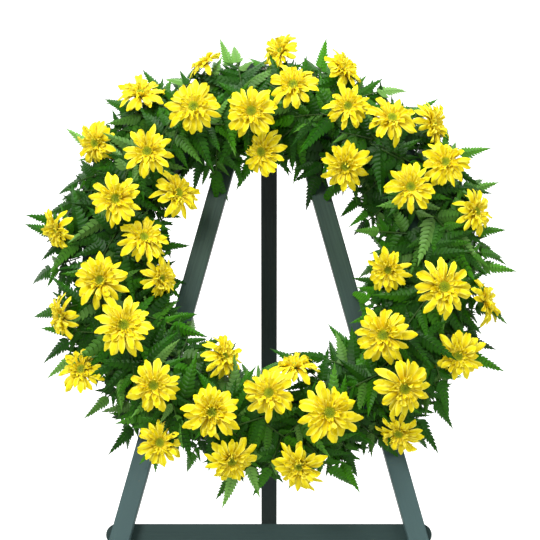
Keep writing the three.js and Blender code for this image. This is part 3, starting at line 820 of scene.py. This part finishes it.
def frond_tree():
    """Pinnae in pairs along a rachis on X, shorter towards its end, and one at the tip.
    Angles are from the rachis, in radians."""
    tree, given = new_tree("fern frond", [
        ("Pairs", "NodeSocketInt", 4),
        ("Length", "NodeSocketFloat", 0.08),
        ("First", "NodeSocketFloat", 0.1),
        ("Pinna", "NodeSocketFloat", 0.06),
        ("Taper", "NodeSocketFloat", 0.75),
        ("Root angle", "NodeSocketFloat", 1.1),
        ("Tip angle", "NodeSocketFloat", 0.7),
        ("Spread", "NodeSocketFloat", 0.4),
        ("Tip size", "NodeSocketFloat", 0.03),
        ("Rachis", "NodeSocketFloat", 0.0009),
        ("Seed", "NodeSocketInt", 1),
    ])
    seed = given["Seed"]
    spread = given["Spread"]
    index = add_node(tree, "GeometryNodeInputIndex").outputs[0]
    pair = calc(tree, "FLOOR", calc(tree, "MULTIPLY", index, 0.5))
    odd = calc(tree, "MODULO", index, 2.0)
    side = calc(tree, "SUBTRACT", calc(tree, "MULTIPLY", odd, 2.0), 1.0)
    stagger = calc(tree, "MULTIPLY", side, 0.15)
    share = calc(tree, "DIVIDE", calc(tree, "ADD", pair, stagger), given["Pairs"])
    span = calc(tree, "SUBTRACT", 1.0, given["First"])
    along = calc(tree, "ADD", given["First"], calc(tree, "MULTIPLY", share, span))
    left = calc(tree, "POWER", calc(tree, "SUBTRACT", 1.05, share), given["Taper"])
    size = calc(
        tree, "MULTIPLY", calc(tree, "MULTIPLY", left, given["Pinna"]),
        randomly(tree, 0.85, 1.08, seed, 4))
    change = calc(tree, "SUBTRACT", given["Tip angle"], given["Root angle"])
    swing = calc(tree, "ADD", given["Root angle"], calc(tree, "MULTIPLY", change, share))
    stray = calc(tree, "MULTIPLY", randomly(tree, -0.3, 0.3, seed, 1), spread)
    yaw = calc(tree, "MULTIPLY", side, calc(tree, "ADD", swing, stray))
    roll = calc(tree, "MULTIPLY", randomly(tree, -1.0, 1.0, seed, 2), spread)
    pitch = calc(tree, "MULTIPLY", randomly(tree, -0.6, 0.6, seed, 3), spread)
    count = calc(tree, "MULTIPLY", given["Pairs"], 2.0)
    places = add_node(tree, "GeometryNodeMeshLine", {"Count": count}).outputs[0]
    both = scatter(
        tree, places, PINNAE, vector(tree, calc(tree, "MULTIPLY", along, given["Length"])),
        vector(tree, roll, pitch, yaw), vector(tree, size, size, size), seed)
    one = add_node(tree, "GeometryNodeMeshLine", {"Count": 1}).outputs[0]
    end = vector(tree, calc(tree, "MULTIPLY", given["Length"], 0.96))
    tip_size = given["Tip size"]
    tip = scatter(
        tree, one, PINNAE, end, vector(tree), vector(tree, tip_size, tip_size, tip_size), seed)
    line = add_node(
        tree, "GeometryNodeCurvePrimitiveLine", {"End": vector(tree, given["Length"])}).outputs[0]
    fine = add_node(tree, "GeometryNodeResampleCurve", {"Curve": line, "Count": 7}).outputs[0]
    section = add_node(
        tree, "GeometryNodeCurvePrimitiveCircle", {"Resolution": 5, "Radius": given["Rachis"]})
    stalk = add_node(
        tree, "GeometryNodeCurveToMesh",
        {"Curve": fine, "Profile Curve": section.outputs[0], "Fill Caps": True}).outputs[0]
    marked = add_node(
        tree, "GeometryNodeStoreNamedAttribute", {"Geometry": stalk, "Name": "rib", "Value": 1.0},
        data_type="FLOAT", domain="POINT").outputs[0]
    whole = add_node(tree, "GeometryNodeJoinGeometry")
    for part in (both, tip, marked):
        tree.links.new(part, whole.inputs[0])
    return end_tree(tree, whole.outputs[0], FERN)


FROND = frond_tree()


def frond(base, along, face, length, seed, pairs, droop, painted_lightness, rachis=0.5, pinna_share=0.66):
    """A frond from its base, pointing along, its upper side towards face, in metres. Its
    painted shade goes from dark at its root, where other leaves cover it, to its given
    lightness, at most, at its tips."""
    chance = random.Random(seed)
    made = grown(
        FROND, Matrix(), Pairs=pairs, Length=length * rachis, First=0.1,
        Pinna=length * pinna_share, Root_angle=1.08, Tip_angle=0.62, Spread=0.4,
        Tip_size=length * (1 - 0.96 * rachis), Seed=seed)
    points = np.zeros(len(made.data.vertices) * 3)
    made.data.vertices.foreach_get("co", points)
    points = points.reshape(-1, 3)
    sway = chance.uniform(-0.12, 0.12)
    points[:, 2] -= droop * points[:, 0] ** 2 / length + 1.6 * points[:, 1] ** 2
    points[:, 1] += sway * points[:, 0] ** 2 / length
    made.data.vertices.foreach_set("co", points.ravel())
    # Painted shade, stored as shade: dark at the root, lighter towards the tips, and darker all
    # over on fronds that lie lower
    reach = np.clip(np.hypot(points[:, 0], points[:, 1]) / (0.75 * length), 0, 1)
    shade = made.data.attributes.new("shade", "FLOAT", "POINT")
    shade.data.foreach_set("value", painted_lightness * (0.25 + 0.75 * reach))
    made.matrix_world = placed(base, along, face)
    return made


# The main fronds, as in the solids: [clock angle, sideways sweep in degrees, size].
OUTER_FRONDS = (
    (15, -3, 0.92), (42, 5, 0.86), (70, -4, 0.96), (90, 4, 0.94), (115, 0, 1.06), (136, 4, 0.98),
    (161, -5, 0.86), (188, 4, 0.9), (219, 2, 0.9), (245, -4, 0.92), (281, 3, 1), (304, -2, 0.97),
    (328, 4, 0.86), (350, -4, 0.86),
)
INNER_FRONDS = (
    (18, 6, 0.62), (60, -8, 0.62), (100, 6, 0.68), (136, -6, 0.68), (207, 6, 0.7),
    (243, 6, 0.68), (278, -6, 0.74), (344, 6, 0.66),
)
FOAM_OUTER = 231
FOAM_INNER = 165
FROND_LENGTH = 78  # of its leafy part, at size 1
FROND_DEPTH = 17
FROND_LAYER = 6  # every other frond stands this much further forward
HALF_SHEET = 0.5  # half the thickness of a solid frond
SUNK = 10  # how far the root of a main frond is inside the foam
BARE_STALK = 6  # between the foam and the leafy part

# The fern's own surface over the foam, under the flowers.
BED_DEPTH = 65
BED_FALL = 0.0085
BED_SINK = 4  # the uppermost cover fronds lie this far below it
BED_LAYER = 10  # and the lowest ones this much lower still
COVER_LENGTHS = (74, 96)
EDGE_COVERS = 4


def main_frond(entry, index, direction, seed):
    """The frond that stands where a solid one does, rooted in the side of the foam."""
    clock, sweep, size = entry
    edge = FOAM_OUTER if direction > 0 else FOAM_INNER
    depth = FROND_DEPTH + FROND_LAYER * (index % 2) + HALF_SHEET
    base = on_wreath(clock, edge - direction * SUNK, depth)
    length = (FROND_LENGTH * size + SUNK + BARE_STALK) * MM
    # Main fronds lie on top, so their painted shade is light
    return frond(
        base, outward(clock + sweep) * direction, FORWARD, length, seed, pairs=4, droop=0.12,
        painted_lightness=0.9)


def cover_frond(clock, radius, heading, seed):
    """A smaller frond that lies over the foam. heading is degrees from straight outwards."""
    chance = random.Random(seed)
    off = radius - RING_RADIUS
    slope = math.atan(2 * BED_FALL * off) + math.radians(chance.uniform(-9, 9))
    face = outward(clock) * math.sin(slope) + FORWARD * math.cos(slope)
    flat = outward(clock + heading)
    along = (flat - face * flat.dot(face)).normalized()
    rise = math.radians(chance.uniform(0, 13))
    under = chance.uniform(0, 1)
    depth = BED_DEPTH - BED_FALL * off * off - BED_SINK - BED_LAYER * under
    # The lower a cover frond lies, the darker its painted shade
    return frond(
        on_wreath(clock, radius, depth), along * math.cos(rise) + face * math.sin(rise), face,
        chance.uniform(*COVER_LENGTHS) * MM, seed, pairs=3, droop=0.4, painted_lightness=1 - 0.6 * under,
        pinna_share=0.68)


def fern_piece(kind, number, entry, direction):
    """The main frond of a fern node with the smaller fronds that cover the foam beside it."""
    name = f"fern_{kind}_{number:02d}"
    share = 360 / len(OUTER_FRONDS if direction > 0 else INNER_FRONDS)
    seed = 100 * number + (1 if direction > 0 else 51)
    chance = random.Random(seed)
    parts = [main_frond(entry, number - 1, direction, seed)]
    straight = 0 if direction > 0 else 180
    for k in range(EDGE_COVERS):
        clock = entry[0] + (k + 0.5 - EDGE_COVERS / 2) / EDGE_COVERS * share
        parts.append(cover_frond(
            clock + chance.uniform(-3, 3), RING_RADIUS + direction * chance.uniform(16, 34),
            straight + chance.uniform(-38, 38), seed + k + 2))
    middle_count = 4 if direction > 0 else 5
    for k in range(middle_count):
        clock = entry[0] + (k + 0.5 - middle_count / 2) / middle_count * share
        along_ring = 90 * (-1) ** k + chance.uniform(-40, 40)
        parts.append(cover_frond(
            clock + chance.uniform(-3, 3), RING_RADIUS + direction * chance.uniform(-6, 14),
            along_ring, seed + k + 20))
    piece = joined(name + "_fronds", parts)
    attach(piece, "root")
    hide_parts(name)


# ---- Easel, ring and fastenings -----------------------------------------------------


def dress(nodes, material):
    """Gives CAD nodes a material."""
    for name in nodes:
        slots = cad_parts[name].data.materials
        slots.clear()
        slots.append(material)


# Dark and middle colours of the paint on each kind of piece, and its painted lit colour
# low down. The rear leg's and the brace's darker paints are painted shade.
FRONT_PAINT = ("#21342D", "#32493B", "#496163")
BRACE_PAINT_SHADED = ("#1C2C27", "#273C35", "#2A3F3E")
REAR_PAINT_SHADED = ("#101B19", "#1B2826", "#1F2D2A")


def dress_easel():
    """Materials of the solids that stay as they are."""
    dress(
        ["front_leg_left"], painted_wood("painted pine left", (LEAN, -SPLAY, 0), FRONT_PAINT))
    dress(
        ["front_leg_right"], painted_wood("painted pine right", (LEAN, SPLAY, 0), FRONT_PAINT))
    # The rear leg's darker paint is painted shade, behind the wreath
    dress(["rear_leg"], painted_wood("painted pine rear", (-REAR_LEAN, 0, 0), REAR_PAINT_SHADED))
    # The brace's darker paint is painted shade too
    dress(
        ["cross_brace"],
        painted_wood("painted pine brace", (0, math.radians(90), 0), BRACE_PAINT_SHADED))
    dress(["header_block"], painted_wood("painted pine header", (LEAN, 0, 0), FRONT_PAINT))
    dress(
        ["brace_screw_left", "brace_screw_right", "header_nail_left", "header_nail_right",
         "hinge_fixed_leaf", "hinge_moving_leaf", "hinge_pin"], zinc_material())
    dress(
        ["tie_wire_upper_left", "tie_wire_upper_right", "tie_wire_lower_left",
         "tie_wire_lower_right"], wire_material())
    dress(["ring_tray"], tray_material())
    dress(["foam_ring"], foam_material())


# ---- Studio -------------------------------------------------------------------------


def studio():
    """A pale floor that curves up into a wall and glows white far behind, and soft light from
    above and in front."""
    material, tree, shader = new_material("white paper", 0.9, Specular_IOR_Level=0.0)
    shader.inputs["Base Color"].default_value = linear("#C9C9C7")
    where = add_node(tree, "ShaderNodeTexCoord").outputs["Object"]
    back = add_node(tree, "ShaderNodeSeparateXYZ", {0: where}).outputs["Y"]
    glow = add_node(
        tree, "ShaderNodeMapRange",
        {"Value": back, "From Min": 0.6, "From Max": 1.8, "To Min": 0.0, "To Max": 1.0})
    tree.links.new(glow.outputs[0], shader.inputs["Emission Strength"])
    shader.inputs["Emission Color"].default_value = linear("#FFFFFF")
    front, flat_end, bend, wall_top, half = -6.0, 2.2, 1.2, 5.0, 6.0
    profile = [(front, 0.0), (flat_end, 0.0)]
    profile += [(flat_end + bend * math.sin(a), bend - bend * math.cos(a))
                for a in np.linspace(0, math.pi / 2, 13)[1:]]
    profile.append((flat_end + bend, wall_top))
    points = [(x, y, z) for y, z in profile for x in (-half, half)]
    faces = [(2 * i, 2 * i + 1, 2 * i + 3, 2 * i + 2) for i in range(len(profile) - 1)]
    mesh = bpy.data.meshes.new("backdrop")
    mesh.from_pydata(points, [], faces)
    mesh.shade_smooth()
    mesh.materials.append(material)
    link("backdrop", mesh)
    world = bpy.data.worlds.new("studio")
    world.use_nodes = True
    world.node_tree.nodes["Background"].inputs["Color"].default_value = linear("#FFFFFF")
    world.node_tree.nodes["Background"].inputs["Strength"].default_value = 0.28
    bpy.context.scene.world = world
    # Each lamp's name, place, width in metres and power in watts.
    lamps = (
        ("key", (-1.3, -2.3, 2.4), 1.2, 84),
        ("fill", (1.9, -2.2, 1.2), 1.6, 20),
        ("top", (0.2, -0.5, 2.6), 1.0, 46),
    )
    target = Vector((0, -0.05, 0.55))
    for name, place, size, power in lamps:
        lamp = bpy.data.lights.new(name, "AREA")
        lamp.size = size
        lamp.energy = power
        made = link(name, lamp)
        made.location = place
        made.rotation_euler = (target - Vector(place)).to_track_quat("-Z", "Y").to_euler()
    bpy.context.scene.view_settings.view_transform = "Standard"


def camera():
    """In front of the wreath and looking level, just beside and below its centre."""
    lens = bpy.data.cameras.new("camera")
    lens.sensor_width = 36
    lens.lens = 116.7
    aside, away, below = 1.3 * MM, 2200 * MM, 3.8 * MM
    made = link("camera", lens)
    made.location = CENTRE + Vector((aside, -away, -below))
    made.rotation_euler = (math.radians(90), 0, 0)
    bpy.context.scene.camera = made


camera()
studio()
dress_easel()
for number, heads in enumerate(SPRAYS, 1):
    daisy_spray(number, heads)
for number, entry in enumerate(OUTER_FRONDS, 1):
    fern_piece("outer", number, entry, 1)
for number, entry in enumerate(INNER_FRONDS, 1):
    fern_piece("inner", number, entry, -1)
